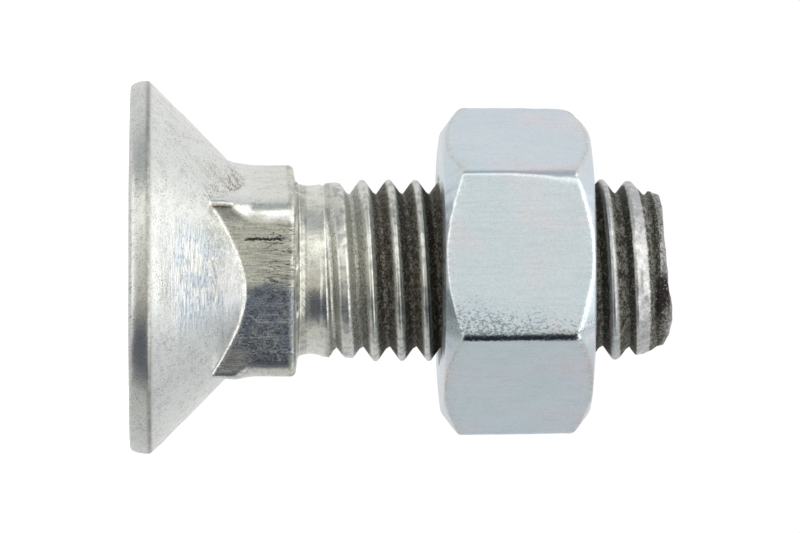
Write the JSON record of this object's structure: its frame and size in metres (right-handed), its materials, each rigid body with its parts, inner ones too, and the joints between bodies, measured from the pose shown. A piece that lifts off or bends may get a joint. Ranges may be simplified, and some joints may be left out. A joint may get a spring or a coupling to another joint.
{
  "type": "countersunk square neck bolt with hexagon nut",
  "caption": "Countersunk square neck bolt with a hexagon nut on its thread, for clamping plates flush from the head side.",
  "frame": {"origin": "centre of the head's flat face, which the bolt stands on", "axes": "+Z along the shank from the head to the thread's end; the flats of the square neck face +X, -X, +Y and -Y"},
  "size_m": [0.0246, 0.0246, 0.035],
  "materials": {
    "zinc_plated_bolt": "zinc plated, satin, scuffed, brown dirt in the thread",
    "zinc_plated_nut": "blue-white zinc plated, satin"
  },
  "bodies": {
    "bolt": {"square_neck_bolt": "zinc_plated_bolt"},
    "nut": {"hex_nut": "zinc_plated_nut"}
  },
  "joints": [
    {"name": "nut_travel", "type": "slide", "parent": "bolt", "child": "nut", "axis": [0, 0, 1], "range_m": [-0.00525, 0.01225]}
  ]
}
